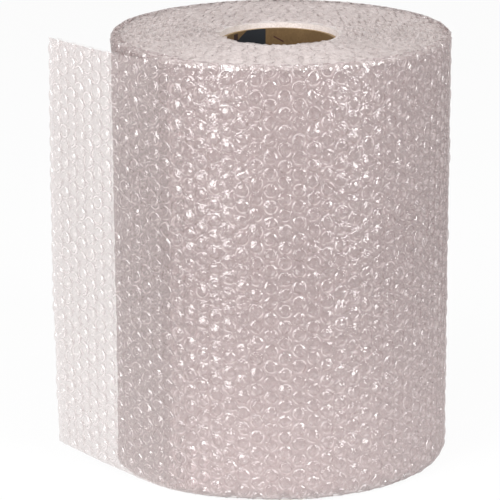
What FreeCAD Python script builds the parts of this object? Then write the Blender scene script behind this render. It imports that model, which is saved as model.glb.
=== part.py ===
"""A roll of bubble film standing on its end, with one free tail, wound on a cardboard core.

Two pieces: the film, which is one web from its start on the core to the free end of its tail,
and the core, a plain cardboard tube. Sizes are in millimetres. The origin is on the core's axis
in the plane that the roll stands on, and +Z is up along the axis. The film leaves the roll
towards -X, and the side that faces -Y is the front.

Seen from above, the web winds clockwise as it goes outwards. A turn is two half circles whose
centres lie a quarter pitch either side of the axis, on the line through the point where the
tail leaves. The film's flat side faces out, and its bubbles face the core. The tail is thin
backing with its bubbles standing on it, and in the roll both are as thick as the bubbles.
"""

import FreeCAD, Part
import math
import os

Vector = FreeCAD.Vector
UP = Vector(0, 0, 1)

# Core
CORE_BORE_RADIUS = 38.1  # a 3 inch core
CORE_WALL = 3.0
CORE_RECESS = 4.5  # the core's upper end lies this far below the film's
CORE_CLEARANCE = 0.3  # between the core and the first turn

# Wound film
WEB_WIDTH = 305.0  # a 12 inch roll
FILM_THICKNESS = 4.76  # 3/16 inch, the height of a small bubble
TURN_GAP = 0.3
TURNS = 15
CHORDS = 22  # straight steps that each half turn of the gap is drawn with
LEAVING_ANGLE = 229.0  # degrees from +X, where the tail leaves the roll

# Tail
TAIL_LENGTH = 124.0
TAIL_CURL_RADIUS = 446.0
BACKING_THICKNESS = 0.4
FORMED_PLY_THICKNESS = 0.3  # the ply that is formed into bubbles, on top of the backing

# Bubbles on the tail
BUBBLE_PITCH = 11.3  # from one bubble to the next in an upright column
BUBBLE_TAPER = 2.2  # how far a bubble's top lies inside its foot, on each side
EDGE_MARGIN = 2.0  # plain backing between the bubbles and the edges of the film

TURN_PITCH = FILM_THICKNESS + TURN_GAP
CORE_OUTER_RADIUS = CORE_BORE_RADIUS + CORE_WALL
INNER_RADIUS = CORE_OUTER_RADIUS + CORE_CLEARANCE
HALF_TURNS = 2 * TURNS
CENTRE_SHIFT = TURN_PITCH / 4
FIRST_RADIUS = INNER_RADIUS + CENTRE_SHIFT  # of the web's inner face in the first half turn
LEAVING_RADIUS = INNER_RADIUS + TURNS * TURN_PITCH + FILM_THICKNESS  # where the tail leaves
BUBBLE_SIDE = BUBBLE_PITCH / math.sqrt(3)  # of the six-sided foot


def turned(direction, degrees):
    """The direction turned about +Z, anticlockwise seen from above."""
    angle = math.radians(degrees)
    x = direction.x * math.cos(angle) - direction.y * math.sin(angle)
    y = direction.x * math.sin(angle) + direction.y * math.cos(angle)
    return Vector(x, y, 0)


LEAVING = turned(Vector(1, 0, 0), LEAVING_ANGLE)


def half_turn(number, depth):
    """The centre, start and radius of a half turn, depth outwards from the web's inner face."""
    start = LEAVING if number % 2 == 0 else LEAVING * -1
    return start * -CENTRE_SHIFT, start, FIRST_RADIUS + number * TURN_PITCH / 2 + depth


def half_circle(number, depth):
    """A half turn in plan as one arc."""
    centre, start, radius = half_turn(number, depth)
    middle = centre + turned(start, -90) * radius
    return Part.Arc(centre + start * radius, middle, centre - start * radius).toShape()


def gap_side(numbers, depth):
    """One side of the gap between turns, as points from the first half turn to the last."""
    points = []
    for number in numbers:
        centre, start, radius = half_turn(number, depth)
        for n in range(CHORDS):
            points.append(centre + turned(start, -180 * n / CHORDS) * radius)
    return [*points, centre - start * radius]


def tail_point(along, depth):
    """A point of the tail in plan, depth inwards from its outer face."""
    centre = LEAVING * (LEAVING_RADIUS - TAIL_CURL_RADIUS)
    normal = turned(LEAVING, -math.degrees(along / TAIL_CURL_RADIUS))
    return centre + normal * (TAIL_CURL_RADIUS - depth)


def tail_face():
    """The tail's outer face in plan as one arc."""
    return Part.Arc(*[tail_point(n * TAIL_LENGTH, 0) for n in (0, 1 / 2, 1)]).toShape()


def column_places():
    """Distance along the tail of each upright column of bubbles, from the free end inwards."""
    outermost = TAIL_LENGTH - EDGE_MARGIN - BUBBLE_SIDE
    pitch = BUBBLE_SIDE * 3 / 2
    count = int((outermost - BUBBLE_SIDE - EDGE_MARGIN) / pitch) + 1
    return [outermost - n * pitch for n in range(count)]


def tail_back():
    """The backing's inner side in plan, flat between the corners of the bubbles' feet."""
    corners = [place + BUBBLE_SIDE / 2 for place in column_places()]
    corners += [place - BUBBLE_SIDE / 2 for place in column_places()]
    stations = [TAIL_LENGTH, *sorted(corners, reverse=True), 0]
    return [tail_point(along, BACKING_THICKNESS) for along in stations]


def web_section():
    """The web in plan. Its first turn is pressed round on the core."""
    last = HALF_TURNS - 2
    inside = gap_side(range(2, HALF_TURNS), 0)
    outside = gap_side(range(last), FILM_THICKNESS)
    around = [half_circle(last, FILM_THICKNESS), half_circle(last + 1, FILM_THICKNESS)]
    inwards = [tail_point(TAIL_LENGTH, 0), *tail_back(), *reversed(inside), *outside]
    outline = Part.Wire([*around, tail_face(), *Part.makePolygon(inwards).Edges])
    return Part.Face([outline, Part.Wire(Part.makeCircle(INNER_RADIUS))])


def bubble_corners(place, inset):
    """A bubble's six corners on the flattened tail. Neighbours share those of their feet."""
    along, up = place
    side = BUBBLE_SIDE - inset * 2 / math.sqrt(3)
    steps = ((2, 0), (1, 1), (-1, 1), (-2, 0), (-1, -1), (1, -1))
    return [(along + i * side / 2, up + j * side * math.sqrt(3) / 2) for i, j in steps]


def bubble_places():
    """Distance along the tail and height of each bubble. Every other column is half a pitch up."""
    rows = int((WEB_WIDTH - 2 * EDGE_MARGIN) / BUBBLE_PITCH - 1 / 2)
    lowest = (WEB_WIDTH - (rows - 1 / 2) * BUBBLE_PITCH) / 2
    for number, along in enumerate(column_places()):
        for row in range(rows):
            yield along, lowest + (row + (number % 2) / 2) * BUBBLE_PITCH


def on_tail(places, depth):
    """Points of the flattened tail brought to where the tail is."""
    return [tail_point(along, depth) + UP * up for along, up in places]


def facet(*points):
    return Part.Face(Part.makePolygon([*points, points[0]]))


def bubble_ply():
    """The tail's formed ply: six-sided bubbles foot to foot, one solid sunk in the backing.

    Two bubbles share each edge of their feet. The edges left over are the ply's border, and it
    has upright walls there.
    """
    sunk = BACKING_THICKNESS / 2
    inset = bubble_corners((0, 0), BUBBLE_TAPER)
    faces = []
    border = {}
    for place in bubble_places():
        feet = bubble_corners(place, 0)
        foot = on_tail(feet, BACKING_THICKNESS + FORMED_PLY_THICKNESS)
        base = on_tail(feet, sunk)
        middle = on_tail([place], sunk)[0]
        top_middle = on_tail([place], FILM_THICKNESS)[0]
        across = (foot[0] - foot[3]).normalize()
        top = [top_middle + across * along + UP * up for along, up in inset]
        faces.append(facet(*top))
        for n in range(len(feet)):
            m = (n + 1) % len(feet)
            faces.append(facet(foot[n], foot[m], top[n]))
            faces.append(facet(foot[m], top[m], top[n]))
            faces.append(facet(base[n], base[m], middle))
            key = frozenset((round(x, 3), round(y, 3)) for x, y in (feet[n], feet[m]))
            if border.pop(key, None) is None:
                border[key] = (foot[n], foot[m], base[n], base[m])
    for foot_start, foot_end, base_start, base_end in border.values():
        faces.append(facet(base_start, base_end, foot_end))
        faces.append(facet(base_start, foot_end, foot_start))
    shell = Part.Shell(faces)
    shell.sewShape()
    solid = Part.Solid(shell)
    if solid.Volume < 0:
        solid.reverse()
    return solid


def bubble_film():
    """The wound web and its tail, one solid from the core to the free end."""
    web = web_section().extrude(UP * WEB_WIDTH)
    return web.fuse(bubble_ply()).Solids[0]


def cardboard_core():
    length = WEB_WIDTH - CORE_RECESS
    tube = Part.makeCylinder(CORE_OUTER_RADIUS, length)
    return tube.cut(Part.makeCylinder(CORE_BORE_RADIUS, length))


def main():
    os.makedirs("parts", exist_ok=True)
    for name, make in (("bubble_film", bubble_film), ("cardboard_core", cardboard_core)):
        make().exportStep(f"parts/{name}.step")


main()
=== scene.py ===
"""The looks of a roll of bubble film that stands on its end, dressed over its solids.

Shapes are worked out in millimetres and become metres when a mesh is made. Shaders work in
metres. The web of film is handled as it would lie when rolled out flat: `s` is the distance in
from the free end of the tail, `z` the height, and `depth` how far a point lies behind the
film's outer face.
"""

import math

import bpy
import numpy as np
from mathutils import Matrix, Vector


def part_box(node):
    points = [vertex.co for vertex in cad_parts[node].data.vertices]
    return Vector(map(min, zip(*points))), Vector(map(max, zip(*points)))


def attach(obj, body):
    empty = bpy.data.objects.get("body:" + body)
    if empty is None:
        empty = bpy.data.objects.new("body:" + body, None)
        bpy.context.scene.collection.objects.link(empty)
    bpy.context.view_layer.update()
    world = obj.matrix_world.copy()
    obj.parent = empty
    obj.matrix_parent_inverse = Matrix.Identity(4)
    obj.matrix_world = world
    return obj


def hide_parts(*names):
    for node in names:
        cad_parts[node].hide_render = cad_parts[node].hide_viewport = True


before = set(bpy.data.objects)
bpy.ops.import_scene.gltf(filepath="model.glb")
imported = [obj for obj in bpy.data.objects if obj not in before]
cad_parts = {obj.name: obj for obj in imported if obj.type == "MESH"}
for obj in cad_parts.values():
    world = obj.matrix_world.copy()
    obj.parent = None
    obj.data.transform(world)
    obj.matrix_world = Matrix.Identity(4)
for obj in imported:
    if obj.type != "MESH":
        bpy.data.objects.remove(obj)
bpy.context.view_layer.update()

MM = 0.001

# The roll's sizes, from the solids where they hold them
FILM_HIGH = Vector(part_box("bubble_film")[1]) / MM
CORE_HIGH = Vector(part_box("cardboard_core")[1]) / MM
WEB_WIDTH = FILM_HIGH.z
CORE_RADIUS = CORE_HIGH.x
CORE_CLEARANCE = 0.3
INNER_RADIUS = CORE_RADIUS + CORE_CLEARANCE
FILM_THICKNESS = 4.76
TURN_GAP = 0.3
TURNS = 15
LEAVING_ANGLE = 229.0  # degrees from +X, where the tail leaves the roll
TAIL_LENGTH = 124.0
TAIL_CURL_RADIUS = 446.0
TURN_PITCH = FILM_THICKNESS + TURN_GAP
CENTRE_SHIFT = TURN_PITCH / 4
LEAVING_RADIUS = INNER_RADIUS + TURNS * TURN_PITCH + FILM_THICKNESS

# Bubbles
BUBBLE_PITCH = 11.3
BUBBLE_SIDE = BUBBLE_PITCH / math.sqrt(3)  # of the six-sided cell that a bubble has to itself
COLUMN_PITCH = BUBBLE_SIDE * 3 / 2
BUBBLE_RADIUS = 4.85
BUBBLE_DEPTH = 4.1
EDGE_MARGIN = 2.0
FIRST_COLUMN = EDGE_MARGIN + BUBBLE_SIDE
ROWS = int((WEB_WIDTH - 2 * EDGE_MARGIN) / BUBBLE_PITCH - 1 / 2)
LOWEST_ROW = (WEB_WIDTH - (ROWS - 1 / 2) * BUBBLE_PITCH) / 2

# The photograph's camera
CAMERA_ELEVATION = 0.280  # radians
CAMERA_DISTANCE = 2290.0
CAMERA_AIM = (-21.0, 0.0, 147.2)
CAMERA_ROLL = -0.0048  # radians
FOCAL_PIXELS = 3205.0
PHOTO_PIXELS = 500
SENSOR_WIDTH = 36.0
FARTHEST_SEEN = 50.0  # metres


def unit(degrees):
    """Unit vectors in plan at these angles from +X."""
    angle = np.radians(degrees)
    return np.stack([np.cos(angle), np.sin(angle)], -1)


# The spiral's half turns, from the outside in
LEAVING = unit(LEAVING_ANGLE)
HALF_RADII = LEAVING_RADIUS - CENTRE_SHIFT - np.arange(2 * TURNS) * TURN_PITCH / 2
HALF_STARTS = TAIL_LENGTH + np.concatenate([[0], np.cumsum(math.pi * HALF_RADII)])
ONE_TURN_IN = HALF_STARTS[2]
TWO_TURNS_IN = HALF_STARTS[4]
THREE_TURNS_IN = HALF_STARTS[6]
CORE_END = HALF_STARTS[-1]


def plan_place(s):
    """Where the web's outer face lies in plan, and its outward direction, for an array of s."""
    s = np.asarray(s, float)
    tail_normal = unit(LEAVING_ANGLE - np.degrees((TAIL_LENGTH - s) / TAIL_CURL_RADIUS))
    tail = LEAVING * (LEAVING_RADIUS - TAIL_CURL_RADIUS) + tail_normal * TAIL_CURL_RADIUS
    half = np.clip(np.searchsorted(HALF_STARTS, s, "right") - 1, 0, 2 * TURNS - 1)
    radius = HALF_RADII[half]
    normal = unit(LEAVING_ANGLE + 180 * half + np.degrees((s - HALF_STARTS[half]) / radius))
    side = np.where(half % 2 == 0, 1, -1) * CENTRE_SHIFT
    wound = LEAVING * side[..., None] + normal * radius[..., None]
    on_tail = (s < TAIL_LENGTH)[..., None]
    return np.where(on_tail, tail, wound), np.where(on_tail, tail_normal, normal)


# Numbers that look random, and soft waves made with them
SCATTER_STEPS = (12.9898, 78.233, 37.719)
SCATTER_SPREAD = 43758.5453
RIPPLE_WAVES = 6
RIPPLE_SHORTEST = 0.7  # of the length asked for
RIPPLE_RANGE = 0.9  # the longest is this much longer
RIPPLE_SPREAD = 3.2  # the sum of the waves seldom goes beyond this


def scatter(first, second, which=0):
    """A number from 0 to 1 that looks random but always is the same for the same whole numbers."""
    a, b, c = SCATTER_STEPS
    value = np.sin(first * a + second * b + which * c) * SCATTER_SPREAD
    return value - np.floor(value)


def ripple(s, z, length, which=0):
    """Soft waves from -1 to 1 over the flat web, with features about this long."""
    total = np.zeros(np.broadcast(s, z).shape)
    for n in range(RIPPLE_WAVES):
        turn = 2 * math.pi * scatter(n, which, 1)
        pitch = length * (RIPPLE_SHORTEST + RIPPLE_RANGE * scatter(n, which, 2))
        along = (s * math.cos(turn) + z * math.sin(turn)) / pitch
        total += np.sin(2 * math.pi * (along + scatter(n, which, 3)))
    return total / RIPPLE_SPREAD


def nearest_bubble(s, z):
    """Distance and direction to each point from the middle of its bubble, and the bubble's numbers."""
    first = np.floor((s - FIRST_COLUMN) / COLUMN_PITCH)
    best = None
    for column in (first, first + 1):
        shift = (column % 2) * BUBBLE_PITCH / 2
        row = np.round((z - LOWEST_ROW - shift) / BUBBLE_PITCH)
        ds = s - FIRST_COLUMN - column * COLUMN_PITCH
        dz = z - LOWEST_ROW - shift - row * BUBBLE_PITCH
        found = (np.hypot(ds, dz), np.arctan2(dz, ds), column, row)
        if best is None:
            best = found
        else:
            nearer = found[0] < best[0]
            best = tuple(np.where(nearer, new, old) for new, old in zip(found, best))
    return best


# How the real tail departs from its solid
TAIL_LEAN = 9.0
LEAN_POWER = 1.6
TAIL_BOW = 2.0
TAIL_RISE = 2.2  # of the lower edge, half way along
TAIL_SHARE = 1 / 6  # of the tail, next to the roll, where the roll's own shape fades out

# How the real roll departs from its solid
LOWER_ROUNDING = 7.0
LEFT_ROUNDING = 0.5
ROUNDING_FROM = -80.0  # across the roll, where the lower edge starts to get rounder
ROUNDING_BAND = 50.0
UPPER_ROUNDING = 2.0
LOWER_TAPER = 0.9
SLANT = 4.0
SLANT_BAND = 60.0
CRUMPLE_BAND = 14.0
FINE_CRUMPLE = 0.45
FINE_CRUMPLE_LENGTH = 6.0
BROAD_CRUMPLE = 0.5
BROAD_CRUMPLE_LENGTH = 15.0

# The flare of the turns under the tail. Angles are degrees from +X.
FLARE = 4.5
FLARE_HEIGHT = 90.0
FLARE_POWER = 1.5
FLARE_FROM = 183.0
FLARE_RISE = 15.0
FLARE_UNTIL = 262.0
FLARE_FALL = 33.0
FLARE_REACH = 120.0  # how far before the end of the first turn it may start


def rounding(height, radius):
    """How far a rounded edge lies in from the side, height above its end."""
    rest = np.clip(radius - height, 0, radius)
    return radius - np.sqrt(np.maximum(radius ** 2 - rest ** 2, 0))


def lower_radius(x):
    """Radius of the roll's lower edge, which is sharper on the left, under the tail."""
    part = np.clip((x - ROUNDING_FROM) / ROUNDING_BAND, 0, 1)
    return LEFT_ROUNDING + (LOWER_ROUNDING - LEFT_ROUNDING) * part


def slant(z, y):
    """How far the upper end rises above its solid: the front is the highest."""
    return SLANT * (1 - y / LEAVING_RADIUS) / 2 * np.clip(1 - (WEB_WIDTH - z) / SLANT_BAND, 0, 1)


def smooth(value):
    """A soft step from 0 to 1."""
    value = np.clip(value, 0, 1)
    return value * value * (3 - 2 * value)


def flare(s, z, normal):
    """How far the turns under the tail stand out near the lower end, where they are loose."""
    angle = np.degrees(np.arctan2(normal[..., 1], normal[..., 0])) % 360
    around = smooth((angle - FLARE_FROM) / FLARE_RISE) * smooth((FLARE_UNTIL - angle) / FLARE_FALL)
    around = around * (s > ONE_TURN_IN - FLARE_REACH)
    return FLARE * around * np.clip(1 - z / FLARE_HEIGHT, 0, 1) ** FLARE_POWER


def crumple(s, z):
    """How far the film is pushed in and out near the upper end of the roll."""
    fine = FINE_CRUMPLE * ripple(s, z, FINE_CRUMPLE_LENGTH, 9)
    broad = BROAD_CRUMPLE * ripple(s, z, BROAD_CRUMPLE_LENGTH, 10)
    return np.clip(1 - (WEB_WIDTH - z) / CRUMPLE_BAND, 0, 1) * (fine + broad)


def place(s, z, depth):
    """Points of the flat web brought to where the roll and its tail hold them."""
    s, z, depth = np.broadcast_arrays(s, z, depth)
    plan, normal = plan_place(s)
    part_up = z / WEB_WIDTH
    out_on_tail = np.clip(1 - s / TAIL_LENGTH, 0, 1)
    on_roll = 1 - np.clip(out_on_tail / TAIL_SHARE, 0, 1)
    inset = rounding(z, lower_radius(plan[..., 0])) + rounding(WEB_WIDTH - z, UPPER_ROUNDING)
    inset = inset + LOWER_TAPER * (1 - part_up) - flare(s, z, normal)
    plan = plan - normal * (depth + on_roll * (crumple(s, z) + inset))[..., None]
    lean = out_on_tail ** LEAN_POWER * TAIL_LEAN * (2 * part_up - 1)
    bow = out_on_tail ** 2 * TAIL_BOW * (4 * part_up * (1 - part_up) - 0.5)
    rise = TAIL_RISE * 4 * out_on_tail * (1 - out_on_tail) * (1 - part_up) ** 2
    x = plan[..., 0] - bow
    y = plan[..., 1] - lean
    return np.stack([x, y, z + on_roll * slant(z, y) + rise], -1)


def new_object(name, points, faces, web, smooth_faces=True):
    """A mesh object from points in millimetres, with each point's place on the flat web."""
    mesh = bpy.data.meshes.new(name)
    points = np.asarray(points, float).reshape(-1, 3) * MM
    mesh.from_pydata(points.tolist(), [], np.asarray(faces).tolist())
    attribute = mesh.attributes.new("web", "FLOAT_VECTOR", "POINT")
    attribute.data.foreach_set("vector", (np.asarray(web, float).reshape(-1, 3) * MM).ravel())
    mesh.polygons.foreach_set("use_smooth", [smooth_faces] * len(mesh.polygons))
    mesh.update()
    return link_object(name, mesh)


def link_object(name, data):
    """A new object in the scene."""
    thing = bpy.data.objects.new(name, data)
    bpy.context.scene.collection.objects.link(thing)
    return thing


def web_object(name, flat, faces):
    """An object from points of the flat web."""
    return new_object(name, place(flat[:, 0], flat[:, 1], flat[:, 2]), faces, flat)


def grid_faces(across, up):
    """Four-sided faces of a grid of points, numbered up each column in turn."""
    column, row = np.meshgrid(np.arange(across - 1), np.arange(up - 1), indexing="ij")
    corner = (column * up + row).ravel()
    return np.stack([corner, corner + up, corner + up + 1, corner + 1], -1)


def web_grid(start, end, step_s, step_z, low=0.0, high=WEB_WIDTH):
    """An even grid over the flat web, with steps as near to these as fit."""
    across = int(round((end - start) / step_s)) + 1
    up = int(round((high - low) / step_z)) + 1
    return np.meshgrid(np.linspace(start, end, across), np.linspace(low, high, up), indexing="ij")


# The outer ply
OVERLAP = 14.0  # of a turn's end and the next turn's start
OUTER_END = ONE_TURN_IN + OVERLAP
PLY_STEPS = 6  # of its grid, for each bubble
PLY_DOME = 1.0
LEAST_DOME = 0.35
DOME_RANGE = 0.9
DOME_POWER = 2.5
PLY_TILT = 0.48
TILT_POWER = 4
PLY_PUCKER = 0.10
PUCKER_POWER = 8
PLY_FOLDS = 5  # round each bubble
ANY_WAY = 6.3  # radians, about a full turn
SHORT_WAVES = (0.10, 7.0)  # height and length
LONG_WAVES = (0.22, 46.0)


def ply_relief(s, z):
    """How far the flat ply stands out: it is blown out a little over each bubble and puckers."""
    distance, direction, column, row = nearest_bubble(s, z)
    part = np.clip(distance / BUBBLE_RADIUS, 0, 1)
    blown = LEAST_DOME + DOME_RANGE * scatter(column, row)
    dome = PLY_DOME * blown * (1 - part ** DOME_POWER)
    tilt_way = np.cos(direction - ANY_WAY * scatter(column, row, 5))
    tilt = PLY_TILT * (scatter(column, row, 4) - 0.5) * tilt_way * part * (1 - part ** TILT_POWER)
    fold_way = np.cos(PLY_FOLDS * direction + ANY_WAY * scatter(column, row, 6))
    folds = PLY_PUCKER * fold_way * part ** 2 * (1 - part ** PUCKER_POWER)
    loose = 0.0
    for number, (height, length) in enumerate((SHORT_WAVES, LONG_WAVES), 1):
        loose = loose + height * ripple(s, z, length, number)
    return dome + tilt + folds + loose


def make_outer_ply():
    """The flat ply of the tail and of the outermost turn, as one open sheet."""
    s, z = web_grid(0.0, OUTER_END, COLUMN_PITCH / PLY_STEPS, BUBBLE_PITCH / PLY_STEPS)
    relief = ply_relief(s, z)
    points = place(s, z, -relief)
    web = np.stack([s, z, relief], -1)
    return new_object("film_outer_ply", points, grid_faces(*s.shape), web)


# Bubbles as meshes. A ring is a share of the bubble's radius and of its depth.
BUBBLE_RINGS = ((1.0, 0.0), (0.91, 0.50), (0.68, 0.88))
BUBBLE_STEPS = 12  # round a bubble
CELL_CORNERS = 6
WELD_DEPTH = 0.25
BUBBLE_SQUASH = 0.05
BUBBLE_LEAN = 1.1
BUBBLE_DENT = 0.5
DENTED_FROM = 0.5  # of a bubble's depth
SLACK = 0.14  # share of its depth that a bubble can lack
SAME_PLACE_DECIMALS = 3


def bubble_cell(rings):
    """One bubble with its share of the flat weld round it, as rings of points and their faces."""
    corner_angles = np.pi / 3 * np.arange(CELL_CORNERS)
    flat = [(BUBBLE_SIDE * math.cos(a), BUBBLE_SIDE * math.sin(a), 0.0) for a in corner_angles]
    for share, depth in rings:
        radius = BUBBLE_RADIUS * share
        for a in 2 * math.pi * np.arange(BUBBLE_STEPS) / BUBBLE_STEPS:
            flat.append((radius * math.cos(a), radius * math.sin(a), depth))
    flat.append((0.0, 0.0, 1.0))
    faces = []
    each = BUBBLE_STEPS // CELL_CORNERS
    middle = each // 2
    for corner in range(CELL_CORNERS):
        rim = [CELL_CORNERS + (each * corner + m) % BUBBLE_STEPS for m in range(each + 1)]
        following = (corner + 1) % CELL_CORNERS
        faces += [(corner, rim[m + 1], rim[m]) for m in range(middle)]
        faces.append((corner, following, rim[middle]))
        faces += [(following, rim[m + 1], rim[m]) for m in range(middle, each)]
    for number in range(len(rings) - 1):
        start = CELL_CORNERS + number * BUBBLE_STEPS
        for n in range(BUBBLE_STEPS):
            a = start + n
            b = start + (n + 1) % BUBBLE_STEPS
            faces += [(a, b, b + BUBBLE_STEPS), (a, b + BUBBLE_STEPS, a + BUBBLE_STEPS)]
    last = CELL_CORNERS + (len(rings) - 1) * BUBBLE_STEPS
    top = last + BUBBLE_STEPS
    faces += [(last + n, last + (n + 1) % BUBBLE_STEPS, top) for n in range(BUBBLE_STEPS)]
    return np.array(flat), np.array(faces)


def bubble_mesh(column, row, rings, height, low=0.0, high=WEB_WIDTH):
    """Points of the flat web, and faces, for bubbles that stand inwards from the flat ply.

    Bubbles that reach below low or above high are cut off there, and stay open.
    """
    cell, cell_faces = bubble_cell(rings)
    column, row = np.asarray(column).ravel()[:, None], np.asarray(row).ravel()[:, None]
    shift = (column % 2) * BUBBLE_PITCH / 2
    corner = np.arange(len(cell))
    above_rim = corner >= CELL_CORNERS + BUBBLE_STEPS
    squash = 1 + BUBBLE_SQUASH * (scatter(column * 7 + corner, row, 7) - 0.5) * above_rim
    lean_s = BUBBLE_LEAN * (scatter(column, row, 8) - 0.5) * cell[:, 2]
    lean_z = BUBBLE_LEAN * (scatter(column, row, 9) - 0.5) * cell[:, 2]
    s = FIRST_COLUMN + column * COLUMN_PITCH + cell[:, 0] * squash + lean_s
    z = LOWEST_ROW + shift + row * BUBBLE_PITCH + cell[:, 1] * squash + lean_z
    blown = height * (1 - SLACK + SLACK * scatter(column, row, 10))
    dent = BUBBLE_DENT * (scatter(column * 5 + corner, row, 11) - 0.5) * (cell[:, 2] > DENTED_FROM)
    depth = WELD_DEPTH + cell[:, 2] * blown + dent
    faces = ((np.arange(len(column)) * len(cell))[:, None, None] + cell_faces).reshape(-1, 3)
    inside = ((z > low) & (z < high)).ravel()
    faces = faces[inside[faces].any(1)]
    flat = np.stack([s, np.clip(z, low, high), depth], -1).reshape(-1, 3)
    return welded(flat, faces)


def welded(flat, faces):
    """Points shared wherever they meet, with no unused point and no face of two corners."""
    rounded = np.round(flat, SAME_PLACE_DECIMALS)
    _, first, number = np.unique(rounded, axis=0, return_index=True, return_inverse=True)
    faces = number.ravel()[faces]
    a, b, c = faces.T
    faces = faces[(a != b) & (b != c) & (c != a)]
    used, compact = np.unique(faces, return_inverse=True)
    return flat[first][used], compact.reshape(-1, 3)


def columns_between(start, end):
    """Numbers of the upright columns of bubbles whose middles lie between two places."""
    first = math.ceil((start - FIRST_COLUMN) / COLUMN_PITCH)
    last = int((end - FIRST_COLUMN) / COLUMN_PITCH)
    return np.arange(first, last + 1)


SECOND_TURN_DEPTH = 0.7 * BUBBLE_DEPTH  # its bubbles are pressed flatter
SECOND_TURN_SET_BACK = 3.0


def bubble_turn(name, start, end, height, set_back=0.0):
    """The formed ply between two places along the web, with its bubbles."""
    columns = columns_between(start, end - BUBBLE_SIDE)
    column, row = np.meshgrid(columns, np.arange(-1, ROWS + 1), indexing="ij")
    ends = (set_back, WEB_WIDTH - set_back)
    return web_object(name, *bubble_mesh(column, row, BUBBLE_RINGS, height, *ends))


# The wound mass
END_DEPTH = 2.2  # how far its ends are set back
LEDGE = 8.0  # how far its upper end stands out over its side, under the outer two turns
LOWER_LEDGE = LEDGE - FLARE
LEDGE_HEIGHT = 0.7
END_POINTS = 12  # from the hole to the rim


def make_wound_mass():
    """The turns inside the outer two, closed all round, with both ends set back a little."""
    lower_side, upper_side = END_DEPTH + LEDGE_HEIGHT, WEB_WIDTH - END_DEPTH - LEDGE_HEIGHT
    steps = (COLUMN_PITCH / 2, BUBBLE_PITCH / 2)
    grid = web_grid(TWO_TURNS_IN, THREE_TURNS_IN, *steps, lower_side, upper_side)
    s, z = [values[:-1] for values in grid]
    whole = np.zeros((len(s), 2))
    lower_ledge, upper_ledge = (END_DEPTH, lower_side), (upper_side, WEB_WIDTH - END_DEPTH)
    z = np.concatenate([whole + lower_ledge, z, whole + upper_ledge], 1)
    s = np.repeat(s[:, :1], z.shape[1], 1)
    out = np.zeros(z.shape)
    out[:, :2] = LOWER_LEDGE
    out[:, -2:] = LEDGE
    side = place(s, z, -out)
    _, normal = plan_place(s[:, :1])
    reach = np.linspace(0, 1, END_POINTS)[None, :, None]
    rim, hole = side[:, :1, :2], normal * INNER_RADIUS
    cap = hole + (rim - hole) * reach
    low = np.concatenate([cap, np.full((*cap.shape[:2], 1), END_DEPTH)], -1)
    high = np.concatenate([cap[:, ::-1], np.full((*cap.shape[:2], 1), WEB_WIDTH - END_DEPTH)], -1)
    high[..., 2] += slant(high[..., 2], high[..., 1])
    loop = np.concatenate([low[:, :-1], side, high[:, 1:]], 1)
    across, up = loop.shape[:2]
    column, row = np.meshgrid(np.arange(across), np.arange(up), indexing="ij")
    following, above = (column + 1) % across, (row + 1) % up
    corners = [column * up + row, following * up + row, following * up + above, column * up + above]
    faces = np.stack(corners, -1).reshape(-1, 4)
    return new_object("film_wound_mass", loop, faces, loop, smooth_faces=False)


# The edges of all turns, in a narrow band at each end
EDGE_BAND = 5.0
EDGE_RINGS = ((1.0, 0.0), (0.90, 0.75))
EDGE_COLUMN_STEPS = 5  # for each bubble
EDGE_BAND_STEPS = 2
BROAD_LIFT = (0.35, 60.0)  # height and length
FINE_LIFT = (0.30, 4.0)
BROAD_WAVES = (0.5, 7.0)  # depth and length
FINE_WAVES = (0.45, 2.6)


def end_lift(along):
    """How far the turns' edges stand out or lie back at the ends of the roll."""
    broad = BROAD_LIFT[0] * ripple(along, 0 * along, BROAD_LIFT[1], 6)
    return broad + FINE_LIFT[0] * ripple(along, 0 * along, FINE_LIFT[1], 7)


def edge_waves(along, up):
    """How far the turns' edges wander in and out between their neighbours."""
    broad = BROAD_WAVES[0] * ripple(along, up, BROAD_WAVES[1], 5)
    return broad + FINE_WAVES[0] * ripple(along, up, FINE_WAVES[1], 8)


def make_end_edges(name, is_upper):
    """The edges of the turns at one end: the flat ply's edge and the bubbles cut through there."""
    steps = (COLUMN_PITCH / EDGE_COLUMN_STEPS, EDGE_BAND / EDGE_BAND_STEPS)
    s, z = web_grid(TAIL_LENGTH, CORE_END, *steps, 0.0, EDGE_BAND)
    strip = np.stack([s, WEB_WIDTH - z if is_upper else z, 0 * s], -1).reshape(-1, 3)
    strip_faces = grid_faces(*s.shape)
    strip_triangles = np.concatenate([strip_faces[:, :3], strip_faces[:, [0, 2, 3]]])
    column = columns_between(TAIL_LENGTH, CORE_END - BUBBLE_SIDE)
    odd_row, even_row = (ROWS - 1, ROWS) if is_upper else (-1, 0)
    row = np.where(column % 2 == 1, odd_row, even_row)
    flat, faces = bubble_mesh(column, row, EDGE_RINGS, BUBBLE_DEPTH)
    points = np.concatenate([flat, strip])
    triangles = np.concatenate([faces, strip_triangles + len(flat)])
    along, up, depth = points.T
    from_end = WEB_WIDTH - up if is_upper else up
    triangles = triangles[(from_end[triangles] < EDGE_BAND).all(1)]
    loose = np.clip(1 - from_end / EDGE_BAND, 0, 1) * np.clip((along - TAIL_LENGTH) / OVERLAP, 0, 1)
    depth = depth + loose * edge_waves(along, up)
    lift = loose * end_lift(along)
    up = up + lift if is_upper else up - np.minimum(lift, 0.0)
    return web_object(name, np.stack([along, np.maximum(up, 0), depth], -1), triangles)


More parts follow.
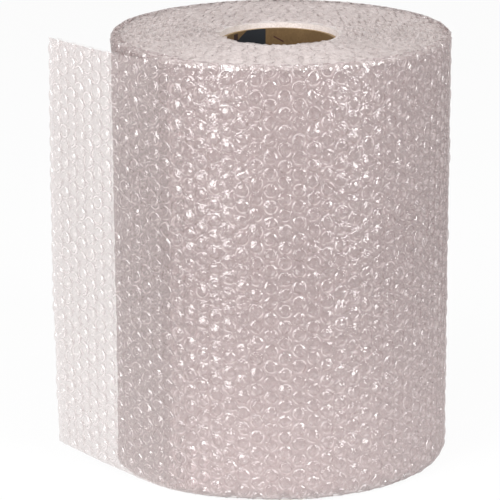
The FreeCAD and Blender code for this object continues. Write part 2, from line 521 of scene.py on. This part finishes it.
class Nodes:
    """The node tree of a material or world, with short ways to add nodes and join them."""

    def __init__(self, owner):
        owner.use_nodes = True
        self.tree = owner.node_tree
        self.tree.nodes.clear()

    def feed(self, socket, value):
        """Joins another node's output to a socket, or sets the socket's own value."""
        if isinstance(value, bpy.types.NodeSocket):
            self.tree.links.new(value, socket)
        else:
            socket.default_value = value

    def add(self, kind, inputs=None, **settings):
        node = self.tree.nodes.new(kind)
        for name, value in settings.items():
            setattr(node, name, value)
        for name, value in (inputs or {}).items():
            self.feed(node.inputs[name], value)
        return node

    def math(self, operation, *values, clamp=False):
        inputs = dict(enumerate(values))
        return self.add("ShaderNodeMath", inputs, operation=operation, use_clamp=clamp).outputs[0]

    def vector_math(self, operation, *values):
        node = self.add("ShaderNodeVectorMath", dict(enumerate(values)), operation=operation)
        return node.outputs["Value" if operation == "LENGTH" else "Vector"]

    def ramp(self, value, *stops):
        node = self.add("ShaderNodeValToRGB", {"Fac": value})
        for element, (position, colour) in zip(node.color_ramp.elements, stops):
            element.position = position
            element.color = (*colour, 1.0)
        return node.outputs["Color"]

    def spread(self, value, start, end, at_start, at_end, kind="LINEAR"):
        """A change from one value to another while the first value goes from start to end."""
        inputs = {"Value": value, "From Min": start, "From Max": end, "To Min": at_start, "To Max": at_end}
        return self.add("ShaderNodeMapRange", inputs, interpolation_type=kind).outputs[0]

    def fade(self, value, start, end, at_start, at_end):
        """A smooth change from one value to another."""
        return self.spread(value, start, end, at_start, at_end, "SMOOTHSTEP")

    def mix_colour(self, factor, first, second):
        node = self.add("ShaderNodeMix", {"Factor": factor}, data_type="RGBA")
        for socket, value in zip((node.inputs[6], node.inputs[7]), (first, second)):
            self.feed(socket, (*value, 1.0) if isinstance(value, tuple) else value)
        return node.outputs[2]

    def mix_shader(self, factor, first, second):
        return self.add("ShaderNodeMixShader", {0: factor, 1: first, 2: second}).outputs[0]

    def noise(self, vector, scale, detail=2.0, distortion=0.0, output="Fac"):
        inputs = {"Vector": vector, "Scale": scale, "Detail": detail, "Distortion": distortion}
        return self.add("ShaderNodeTexNoise", inputs).outputs[output]

    def bump(self, strength, distance, height):
        inputs = {"Strength": strength, "Distance": distance, "Height": height}
        return self.add("ShaderNodeBump", inputs).outputs["Normal"]

    def shader(self, kind, **inputs):
        """A shader with these inputs, named with low lines for spaces. Tuples are colours."""
        named = {name.replace("_", " "): value for name, value in inputs.items()}
        for name, value in named.items():
            if isinstance(value, tuple):
                named[name] = (*value, 1.0)
        return self.add(kind, named).outputs[0]

    def output(self, surface):
        self.add("ShaderNodeOutputMaterial", {"Surface": surface})


def new_material(name):
    """A material, and its nodes to fill in."""
    material = bpy.data.materials.new(name)
    return material, Nodes(material)


def web_vector(nodes):
    """Where a point lies on the flat web, in metres."""
    return nodes.add("ShaderNodeAttribute", attribute_name="web").outputs["Vector"]


STRAY_SCALE = 110.0  # features to a metre


def bubble_distance(nodes, web, wobble, offset=(0.0, 0.0)):
    """Distance in metres from the middle of the nearest bubble, over the flat web."""
    half = (0.5, 0.5, 0.0)
    stray = nodes.noise(web, STRAY_SCALE, 1.0, output="Color")
    stray = nodes.vector_math("SUBTRACT", stray, half)
    web = nodes.vector_math("ADD", web, nodes.vector_math("MULTIPLY", stray, (wobble, wobble, 0.0)))
    across, up = 2 * COLUMN_PITCH * MM, BUBBLE_PITCH * MM
    distances = []
    for column in (0, 1):
        first = (FIRST_COLUMN + offset[0] + column * COLUMN_PITCH) * MM
        lowest = (LOWEST_ROW + offset[1] + column * BUBBLE_PITCH / 2) * MM
        shifted = nodes.vector_math("SUBTRACT", web, (first - across / 2, lowest - up / 2, 0.0))
        part = nodes.vector_math("FRACTION", nodes.vector_math("DIVIDE", shifted, (across, up, 1.0)))
        centred = nodes.vector_math("SUBTRACT", part, half)
        from_middle = nodes.vector_math("MULTIPLY", centred, (across, up, 0.0))
        distances.append(nodes.vector_math("LENGTH", from_middle))
    return nodes.math("MINIMUM", *distances)


def ring(nodes, distance, radius, width):
    """1 on a ring round each bubble, falling to 0 at its sides."""
    off = nodes.math("ABSOLUTE", nodes.math("SUBTRACT", distance, radius * MM))
    return nodes.fade(off, 0.0, width * MM, 1.0, 0.0)


# Painted light: the lower part of the film is painted paler, for light from the white floor
FLOOR_LIGHT = 0.50
FLOOR_LIGHT_HEIGHT = 0.60 * WEB_WIDTH


def painted_light_from_floor(nodes, web):
    """How much painted floor light the lower part of the roll has: its colour is painted paler towards the
    floor, for the light that the white floor throws up.
    """
    height = nodes.add("ShaderNodeSeparateXYZ", {"Vector": web}).outputs["Y"]
    return nodes.fade(height, 0.0, FLOOR_LIGHT_HEIGHT * MM, FLOOR_LIGHT, 0.0)


# Relief too fine for the meshes. Heights are metres, scales are features to a metre.
WAVE_SCALE = 400.0
WAVE_HEIGHT = 0.00050
CREASE_SCALE = 250.0
CREASE_WIDTH = 0.14
CREASE_SLOPE = 0.0005
TAUTNESS_SCALE = 60.0
TAUTNESS_NOISE = (0.35, 0.65)
LEAST_TAUT = 0.3
MOST_TAUT = 1.4
RIM_INNER = 3.4
RIM_OUTER = 5.0


def film_normal(nodes, web, distance, depth):
    """Bump from the rims of the bubbles and the shallow waves and few creases of thin film."""
    waves = nodes.math("MULTIPLY", nodes.noise(web, WAVE_SCALE, 2.0, 0.5), WAVE_HEIGHT)
    inputs = {"Vector": web, "Scale": CREASE_SCALE}
    creases = nodes.add("ShaderNodeTexVoronoi", inputs, feature="DISTANCE_TO_EDGE").outputs["Distance"]
    crease = nodes.math("MULTIPLY", nodes.math("MINIMUM", creases, CREASE_WIDTH), CREASE_SLOPE)
    tautness = nodes.fade(nodes.noise(web, TAUTNESS_SCALE), *TAUTNESS_NOISE, LEAST_TAUT, MOST_TAUT)
    rim = nodes.fade(distance, RIM_INNER * MM, RIM_OUTER * MM, depth * MM, 0.0)
    height = nodes.math("ADD", nodes.math("ADD", waves, crease), nodes.math("MULTIPLY", rim, tautness))
    return nodes.bump(1.0, 1.0, height)


# Thin film
BOTH_SIDES = 2.0  # a thin film shines from both its sides
GRAZING_SHINE = 0.11
FILM_IOR = 1.5
MILK = (0.435, 0.345, 0.340)
# The milk's colour at the floor, painted paler for light from the floor
MILK_WITH_PAINTED_FLOOR_LIGHT = (0.72, 0.62, 0.615)
THROUGH_SHARE = 0.35  # of the milky light, which comes out at the far side
RIM_MILK_AND_PAINTED_GLINT_COLOUR = (0.84, 0.77, 0.765)  # where the film is stretched round a bubble and milkier, and painted glints
RIM_RADIUS = 4.5
RIM_WIDTH = 0.65
FILM_WOBBLE = 0.0012  # metres
HAZE_SCALE = 240.0
HAZE_RANGE = (0.5, 1.5)
RIM_BREAKS = (0.47, 0.60)  # the noise at which a rim starts to show and shows in full
FLAT_TINT = (0.93, 0.920, 0.912)
FORMED_TINT = (0.98, 0.975, 0.972)
# Milk at the bubbles' rims is partly the stretched film and partly painted glints
FLAT_LOOK = {"haze": 0.37, "rim_milk_and_glint": 0.12, "roughness": 0.06, "rim_depth": 0.75}
TAIL_LOOK = {"haze": 0.04, "rim_milk_and_glint": 0.0, "roughness": 0.05, "rim_depth": 0.10}
FORMED_LOOK = {"haze": 0.50, "rim_milk_and_glint": 0.16, "roughness": 0.05, "rim_depth": 0.40}


def film_material(name, tint, haze, rim_milk_and_glint, roughness, rim_depth):
    """Clear thin film: light goes straight through it, and it shines and is a little milky."""
    material, nodes = new_material(name)
    web = web_vector(nodes)
    distance = bubble_distance(nodes, web, FILM_WOBBLE)
    normal = film_normal(nodes, web, distance, rim_depth)
    uneven = nodes.spread(nodes.noise(web, HAZE_SCALE, 3.0, 0.6), 0.0, 1.0, *HAZE_RANGE)
    broken = nodes.fade(nodes.noise(web, HAZE_SCALE, 1.5), *RIM_BREAKS, 0.0, 1.0)
    # Partly painted glints: broken pale rings round the bubbles put into the film's milk
    rims = nodes.math("MULTIPLY", ring(nodes, distance, RIM_RADIUS, RIM_WIDTH), broken)
    milk = nodes.math("MULTIPLY_ADD", rims, rim_milk_and_glint, nodes.math("MULTIPLY", uneven, haze), clamp=True)
    # Painted floor light: the milk is paler low down
    milk_tint = nodes.mix_colour(painted_light_from_floor(nodes, web), MILK, MILK_WITH_PAINTED_FLOOR_LIGHT)
    milk_tint = nodes.mix_colour(rims, milk_tint, RIM_MILK_AND_PAINTED_GLINT_COLOUR)
    clear = nodes.shader("ShaderNodeBsdfTransparent", Color=tint)
    diffuse = nodes.shader("ShaderNodeBsdfDiffuse", Color=milk_tint)
    through = nodes.shader("ShaderNodeBsdfTranslucent", Color=milk_tint)
    body = nodes.mix_shader(milk, clear, nodes.mix_shader(THROUGH_SHARE, diffuse, through))
    white = (1.0, 1.0, 1.0)
    gloss = nodes.shader("ShaderNodeBsdfGlossy", Color=white, Roughness=roughness, Normal=normal)
    fresnel = nodes.add("ShaderNodeFresnel", {"IOR": FILM_IOR, "Normal": normal}).outputs[0]
    factor = nodes.math("MINIMUM", nodes.math("MULTIPLY", fresnel, BOTH_SIDES), GRAZING_SHINE)
    nodes.output(nodes.mix_shader(factor, body, gloss))
    return material


# Wound film. A layer has its rims' radius, its offset and the scale that its rims break at.
WOUND_DARK = (0.27, 0.182, 0.187)
WOUND_PALE = (0.52, 0.395, 0.400)
# The wound film's colour at the floor, painted paler for light from the floor
WOUND_WITH_PAINTED_FLOOR_LIGHT = (0.74, 0.63, 0.63)
PATCH_SCALE = 70.0
FLECK_SCALE = 480.0
PATCH_NOISE = (0.34, 0.66)  # where it is darkest and palest
LAYERS = ((4.4, (0.0, 0.0), 230.0), (4.7, (3.9, 2.6), 190.0))
LAYER_WOBBLE = 0.0022  # metres
LAYER_RIM_WIDTH = 0.7
# Painted shade: a darker, broken ring just outside each bubble's rim, in the wound film's colour
SHADOW_OUTWARDS = 0.9
# Painted glints, partly the milky rims: a pale, broken ring on each bubble's rim, in the wound film's
# colour
MILKY_RIM_AND_PAINTED_GLINT = (0.92, 0.83, 0.83)
PAINTED_GLINT_SHARE = 0.60
PAINTED_GLINT_BREAKS = (0.46, 0.62)
PAINTED_SHADE_RIM = (0.26, 0.18, 0.19)
PAINTED_SHADE_SHARE = 0.35
PAINTED_SHADE_BREAKS = (0.38, 0.54)
WOUND_RIM_DEPTH = 0.75


def mass_material():
    """Many layers of film seen together: pale, greyish pink, with glints from its bubbles, partly real
    gloss and partly painted glints and painted shade in its colour.
    """
    material, nodes = new_material("wound_film")
    web = web_vector(nodes)
    patches = nodes.math("MULTIPLY", nodes.noise(web, PATCH_SCALE, 4.0, 0.8), 0.5)
    patches = nodes.math("MULTIPLY_ADD", nodes.noise(web, FLECK_SCALE, 2.0, 0.6), 0.5, patches)
    colour = nodes.ramp(patches, *zip(PATCH_NOISE, (WOUND_DARK, WOUND_PALE)))
    # Painted floor light: the colour is paler low down
    colour = nodes.mix_colour(painted_light_from_floor(nodes, web), colour, WOUND_WITH_PAINTED_FLOOR_LIGHT)
    distances = []
    for radius, offset, scale in LAYERS:
        distance = bubble_distance(nodes, web, LAYER_WOBBLE, offset)
        broken = nodes.noise(web, scale, 1.0)
        # Painted shade: a darker broken ring just outside each bubble's rim
        shadow = ring(nodes, distance, radius + SHADOW_OUTWARDS, LAYER_RIM_WIDTH)
        dark = nodes.math("MULTIPLY", shadow, nodes.fade(broken, *PAINTED_SHADE_BREAKS, PAINTED_SHADE_SHARE, 0.0))
        # Painted glints, partly the milky rim: a pale broken ring on each bubble's rim
        rim = ring(nodes, distance, radius, LAYER_RIM_WIDTH)
        bright = nodes.math("MULTIPLY", rim, nodes.fade(broken, *PAINTED_GLINT_BREAKS, 0.0, PAINTED_GLINT_SHARE))
        colour = nodes.mix_colour(dark, colour, PAINTED_SHADE_RIM)
        colour = nodes.mix_colour(bright, colour, MILKY_RIM_AND_PAINTED_GLINT)
        distances.append(distance)
    normal = film_normal(nodes, web, nodes.math("MINIMUM", *distances), WOUND_RIM_DEPTH)
    surface = nodes.shader(
        "ShaderNodeBsdfPrincipled",
        Base_Color=colour,
        Roughness=0.30,
        IOR=1.8,
        Normal=normal,
        Coat_Weight=1.0,
        Coat_Roughness=0.05,
        Coat_IOR=1.6,
        Coat_Normal=normal,
    )
    nodes.output(surface)
    return material


# Ends of the roll
END_DARK = (0.605, 0.545, 0.535)
END_PALE = (0.825, 0.770, 0.760)
END_TINT = (0.97, 0.96, 0.955)
END_COVER = 0.60  # share of the edges that isn't clear
GRAIN_SCALE = 900.0
GRAIN_SHARE = 0.65
END_PATCH_SCALE = 120.0
END_RELIEF_SCALE = 700.0
END_RELIEF = 0.0008  # metres
END_RELIEF_STRENGTH = 0.8
PAINTED_CORE_LIGHT = (0.55, 0.44, 0.35)  # painted light: the core's brown light on the film beside it
PAINTED_CORE_LIGHT_SHARE = 0.20
PAINTED_CORE_LIGHT_RADIUS = 1.10 * INNER_RADIUS


def end_material(name, is_solid):
    """The ends of the roll, where the edges of many turns scatter the light: pale and granular, with
    painted brown light from the core next to the hole.
    """
    material, nodes = new_material(name)
    where = nodes.add("ShaderNodeTexCoord").outputs["Object"]
    grain = nodes.math("MULTIPLY", nodes.noise(where, GRAIN_SCALE, 2.0, 0.3), GRAIN_SHARE)
    patches = nodes.noise(where, END_PATCH_SCALE, 3.0, 0.5)
    value = nodes.math("ADD", grain, nodes.math("MULTIPLY", patches, 1 - GRAIN_SHARE))
    pale = nodes.ramp(value, *zip(PATCH_NOISE, (END_DARK, END_PALE)))
    reach = nodes.vector_math("LENGTH", nodes.vector_math("MULTIPLY", where, (1.0, 1.0, 0.0)))
    # Painted light from the core: the film's ends are browner next to the hole
    glow_edge = PAINTED_CORE_LIGHT_RADIUS * MM
    near_core = nodes.spread(reach, INNER_RADIUS * MM, glow_edge, PAINTED_CORE_LIGHT_SHARE, 0.0)
    colour = nodes.mix_colour(near_core, pale, PAINTED_CORE_LIGHT)
    relief = nodes.noise(where, END_RELIEF_SCALE, 3.0, 0.5)
    normal = nodes.bump(END_RELIEF_STRENGTH, END_RELIEF, relief)
    if is_solid:
        nodes.output(nodes.shader("ShaderNodeBsdfDiffuse", Color=colour, Normal=normal))
        return material
    surface = nodes.shader(
        "ShaderNodeBsdfPrincipled", Base_Color=colour, Roughness=0.35, IOR=FILM_IOR, Normal=normal
    )
    through = nodes.shader("ShaderNodeBsdfTranslucent", Color=colour, Normal=normal)
    clear = nodes.shader("ShaderNodeBsdfTransparent", Color=END_TINT)
    nodes.output(nodes.mix_shader(END_COVER, clear, nodes.mix_shader(0.5, surface, through)))
    return material


# Plain print on the core's inner wall. Angles are degrees from +X, heights millimetres.
FIELD_RIGHT = 103.9
FIELD_LEFT_HIGH = (126.5, 300.3)
FIELD_LEFT_LOW = (139.5, 294.7)
SQUARE_ANGLES = (139.2, 146.3)
SQUARE_HEIGHTS = (294.4, 299.6)
DASH_HIGH = (95.2, 294.8)
DASH_LOW = (84.4, 290.8)
DASH_HALF_WIDTH = 0.55
FIELD_COLOUR = (0.003, 0.005, 0.009)
SQUARE_COLOUR = (0.020, 0.006, 0.005)
DASH_COLOUR = (0.040, 0.008, 0.005)

# Core board
OUTER_BOARD = ((0.30, 0.20, 0.10), (0.47, 0.34, 0.19))  # dark and pale
# Painted shade: the inner wall's board is a much darker copy of the outer board, for the shade inside the
# hole
SHADED_INNER_BOARD = ((0.100, 0.054, 0.017), (0.160, 0.095, 0.036))
BOARD_NOISE = (0.30, 0.72)  # where it is darkest and palest
BOARD_RELIEF = 0.0004  # metres
BOARD_RELIEF_STRENGTH = 0.4
FIBRE_RELIEF = 0.3  # where a seam's is 1
WALL_MIDDLE = 2.0  # in from the core's outside, between its two sides
FIBRE_SCALE = 420.0
FIBRE_SHARE = 0.6
BLOTCH_SCALE = 45.0
SEAM_TURNS = 9.0  # of the spiral seam, to a metre of height
SEAM_SHARE = 0.02


def within(nodes, value, low, high):
    """1 where the value is between two others, and 0 elsewhere."""
    above = nodes.math("GREATER_THAN", value, low)
    return nodes.math("MULTIPLY", above, nodes.math("LESS_THAN", value, high))


def line_through(nodes, value, first, second):
    """The other coordinate of the line through two points, at this value of their second one."""
    slope = (second[0] - first[0]) / (second[1] - first[1])
    return nodes.math("MULTIPLY_ADD", value, slope, first[0] - slope * first[1])


def core_print(nodes, degrees, height):
    """The parts of the print, each as 1 where it is printed and 0 elsewhere, and its colour."""
    left = line_through(nodes, height, FIELD_LEFT_HIGH, FIELD_LEFT_LOW)
    field = within(nodes, degrees, FIELD_RIGHT, left)
    across = within(nodes, degrees, *SQUARE_ANGLES)
    square = nodes.math("MULTIPLY", across, within(nodes, height, *SQUARE_HEIGHTS))
    line = line_through(nodes, degrees, DASH_HIGH[::-1], DASH_LOW[::-1])
    off_line = nodes.math("SUBTRACT", height, line)
    on_line = within(nodes, off_line, -DASH_HALF_WIDTH, DASH_HALF_WIDTH)
    dash = nodes.math("MULTIPLY", on_line, within(nodes, degrees, DASH_LOW[0], DASH_HIGH[0]))
    return (field, FIELD_COLOUR), (square, SQUARE_COLOUR), (dash, DASH_COLOUR)


def core_material():
    """Brown board wound in a spiral, painted darker on its inner wall as shade, with plain fields of dark
    print there.
    """
    material, nodes = new_material("core_board")
    where = nodes.add("ShaderNodeTexCoord").outputs["Object"]
    parts = nodes.add("ShaderNodeSeparateXYZ", {"Vector": where}).outputs
    angle = nodes.math("ARCTAN2", parts["Y"], parts["X"])
    radius = nodes.vector_math("LENGTH", nodes.vector_math("MULTIPLY", where, (1.0, 1.0, 0.0)))
    inner = nodes.math("LESS_THAN", radius, (CORE_RADIUS - WALL_MIDDLE) * MM)

    fibre = nodes.noise(where, FIBRE_SCALE, 6.0, 1.2)
    blotch = nodes.math("MULTIPLY", nodes.noise(where, BLOTCH_SCALE, 3.0), 1 - FIBRE_SHARE)
    value = nodes.math("ADD", nodes.math("MULTIPLY", fibre, FIBRE_SHARE), blotch)
    sides = [nodes.ramp(value, *zip(BOARD_NOISE, colours)) for colours in (OUTER_BOARD, SHADED_INNER_BOARD)]
    # Painted shade on the inner wall
    board = nodes.mix_colour(inner, *sides)
    degrees = nodes.math("MULTIPLY", angle, 180 / math.pi)
    for printed, colour in core_print(nodes, degrees, nodes.math("MULTIPLY", parts["Z"], 1 / MM)):
        board = nodes.mix_colour(nodes.math("MULTIPLY", printed, inner), board, colour)

    turns = nodes.math("MULTIPLY", angle, 1 / (2 * math.pi))
    climb = nodes.math("MULTIPLY", parts["Z"], SEAM_TURNS)
    seam = nodes.math("FRACT", nodes.math("ADD", turns, climb))
    groove = nodes.math("LESS_THAN", seam, SEAM_SHARE)
    relief = nodes.math("SUBTRACT", nodes.math("MULTIPLY", fibre, FIBRE_RELIEF), groove)
    normal = nodes.bump(BOARD_RELIEF_STRENGTH, BOARD_RELIEF, relief)
    nodes.output(nodes.shader("ShaderNodeBsdfPrincipled", Base_Color=board, Roughness=0.85, Normal=normal))
    return material


# Stage and lamps
AMBIENT = 0.50
SIDE_ELEVATION = 20.0  # degrees, of the two lamps beside the camera
SIDE_DISTANCE = 1.6  # metres
SIDE_HEIGHT = 1.2  # metres
FLOOR_REACH = 6.0  # metres
FLOOR_GREY = (0.86, 0.86, 0.86)
FLOOR_WHITE_SHARE = 0.93  # the rest keeps the shadow


def seen_directly(nodes):
    """1 for rays from the camera, reflections and clear film, and 0 for the light on things."""
    path = nodes.add("ShaderNodeLightPath").outputs
    not_glossy = nodes.math("MAXIMUM", path["Is Camera Ray"], path["Is Transmission Ray"])
    return nodes.math("MAXIMUM", not_glossy, path["Is Glossy Ray"])


def floor_material():
    """White floor that shows as white and keeps the roll's soft shadow."""
    material, nodes = new_material("floor_white")
    share = nodes.math("MULTIPLY", seen_directly(nodes), FLOOR_WHITE_SHARE)
    diffuse = nodes.shader("ShaderNodeBsdfDiffuse", Color=FLOOR_GREY)
    white = nodes.shader("ShaderNodeEmission", Color=(1.0, 1.0, 1.0), Strength=1.0)
    nodes.output(nodes.mix_shader(share, diffuse, white))
    return material


def make_stage():
    """The floor, and a white world that lights less than it shows."""
    mesh = bpy.data.meshes.new("floor")
    corners = [(x * FLOOR_REACH, y * FLOOR_REACH, 0) for x, y in ((-1, -1), (1, -1), (1, 1), (-1, 1))]
    mesh.from_pydata(corners, [], [(0, 1, 2, 3)])
    floor = link_object("floor", mesh)
    floor.data.materials.append(floor_material())

    world = bpy.data.worlds.new("studio")
    bpy.context.scene.world = world
    nodes = Nodes(world)
    strength = nodes.math("ADD", AMBIENT, nodes.math("MULTIPLY", seen_directly(nodes), 1 - AMBIENT))
    sky = nodes.shader("ShaderNodeBackground", Color=(1.0, 1.0, 1.0), Strength=strength)
    nodes.add("ShaderNodeOutputWorld", {"Surface": sky})


def add_softbox(name, azimuth, elevation, distance, width, height, power):
    """An area lamp that faces the roll's middle, in metres and watts.

    Azimuth 0 is the camera's side, and 90 the right.
    """
    around, above = math.radians(azimuth), math.radians(elevation)
    level = math.cos(above)
    direction = Vector((math.sin(around) * level, -math.cos(around) * level, math.sin(above)))
    lamp = bpy.data.lights.new(name, "AREA")
    lamp.shape = "RECTANGLE"
    lamp.size = width
    lamp.size_y = height
    lamp.energy = power
    thing = link_object(name, lamp)
    thing.location = Vector((0, 0, WEB_WIDTH * MM / 2)) + direction * distance
    thing.rotation_euler = direction.to_track_quat("Z", "Y").to_euler()


def add_lamps():
    """Two tall lamps beside the camera and a weak one from above."""
    side = {"elevation": SIDE_ELEVATION, "distance": SIDE_DISTANCE, "height": SIDE_HEIGHT}
    add_softbox("left_softbox", azimuth=-42, width=0.80, power=29.0, **side)
    add_softbox("right_softbox", azimuth=47, width=0.36, power=20.0, **side)
    add_softbox(
        "top_softbox", azimuth=-12, elevation=62, distance=1.5, width=0.5, height=0.4, power=2.5
    )


def make_camera():
    """The photograph's viewpoint."""
    down = CAMERA_ELEVATION
    forwards = Vector((0, math.cos(down), -math.sin(down)))
    right = Vector((1, 0, 0))
    up = right.cross(forwards)
    cosine, sine = math.cos(CAMERA_ROLL), math.sin(CAMERA_ROLL)
    across = right * cosine + up * sine
    upwards = up * cosine - right * sine
    stand = (Vector(CAMERA_AIM) - forwards * CAMERA_DISTANCE) * MM
    camera = link_object("camera", bpy.data.cameras.new("camera"))
    camera.data.sensor_width = SENSOR_WIDTH
    camera.data.lens = FOCAL_PIXELS / PHOTO_PIXELS * SENSOR_WIDTH
    camera.data.clip_end = FARTHEST_SEEN
    turn = Matrix((across, upwards, -forwards)).transposed().to_4x4()
    camera.matrix_world = Matrix.Translation(stand) @ turn
    bpy.context.scene.camera = camera


def dress(piece, material, node):
    """Gives a piece its material and its body, and hides the solid that it stands for."""
    piece.data.materials.append(material)
    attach(piece, "root")
    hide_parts(node)


def main():
    """Builds the stage and the film's pieces, and gives the core its looks."""
    bpy.context.scene.view_settings.view_transform = "Standard"
    make_camera()
    make_stage()
    add_lamps()

    outer = make_outer_ply()
    tail_end = TAIL_LENGTH + BUBBLE_SIDE
    second_end = TWO_TURNS_IN + OVERLAP
    bubbles = bubble_turn("film_bubble_ply", 0.0, tail_end, BUBBLE_DEPTH)
    first = bubble_turn("film_first_turn", tail_end, OUTER_END, BUBBLE_DEPTH)
    second = bubble_turn(
        "film_second_turn", ONE_TURN_IN, second_end, SECOND_TURN_DEPTH, SECOND_TURN_SET_BACK
    )
    edges = end_material("film_edges", False)
    for piece, material in (
        (outer, film_material("clear_ply", FLAT_TINT, **FLAT_LOOK)),
        (bubbles, film_material("tail_bubbles", FORMED_TINT, **TAIL_LOOK)),
        (first, film_material("formed_ply", FORMED_TINT, **FORMED_LOOK)),
        (second, mass_material()),
        (make_wound_mass(), end_material("wound_ends", True)),
        (make_end_edges("film_upper_edges", True), edges),
        (make_end_edges("film_lower_edges", False), edges),
    ):
        dress(piece, material, "bubble_film")

    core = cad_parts["cardboard_core"]
    core.data.materials.clear()
    core.data.materials.append(core_material())


main()
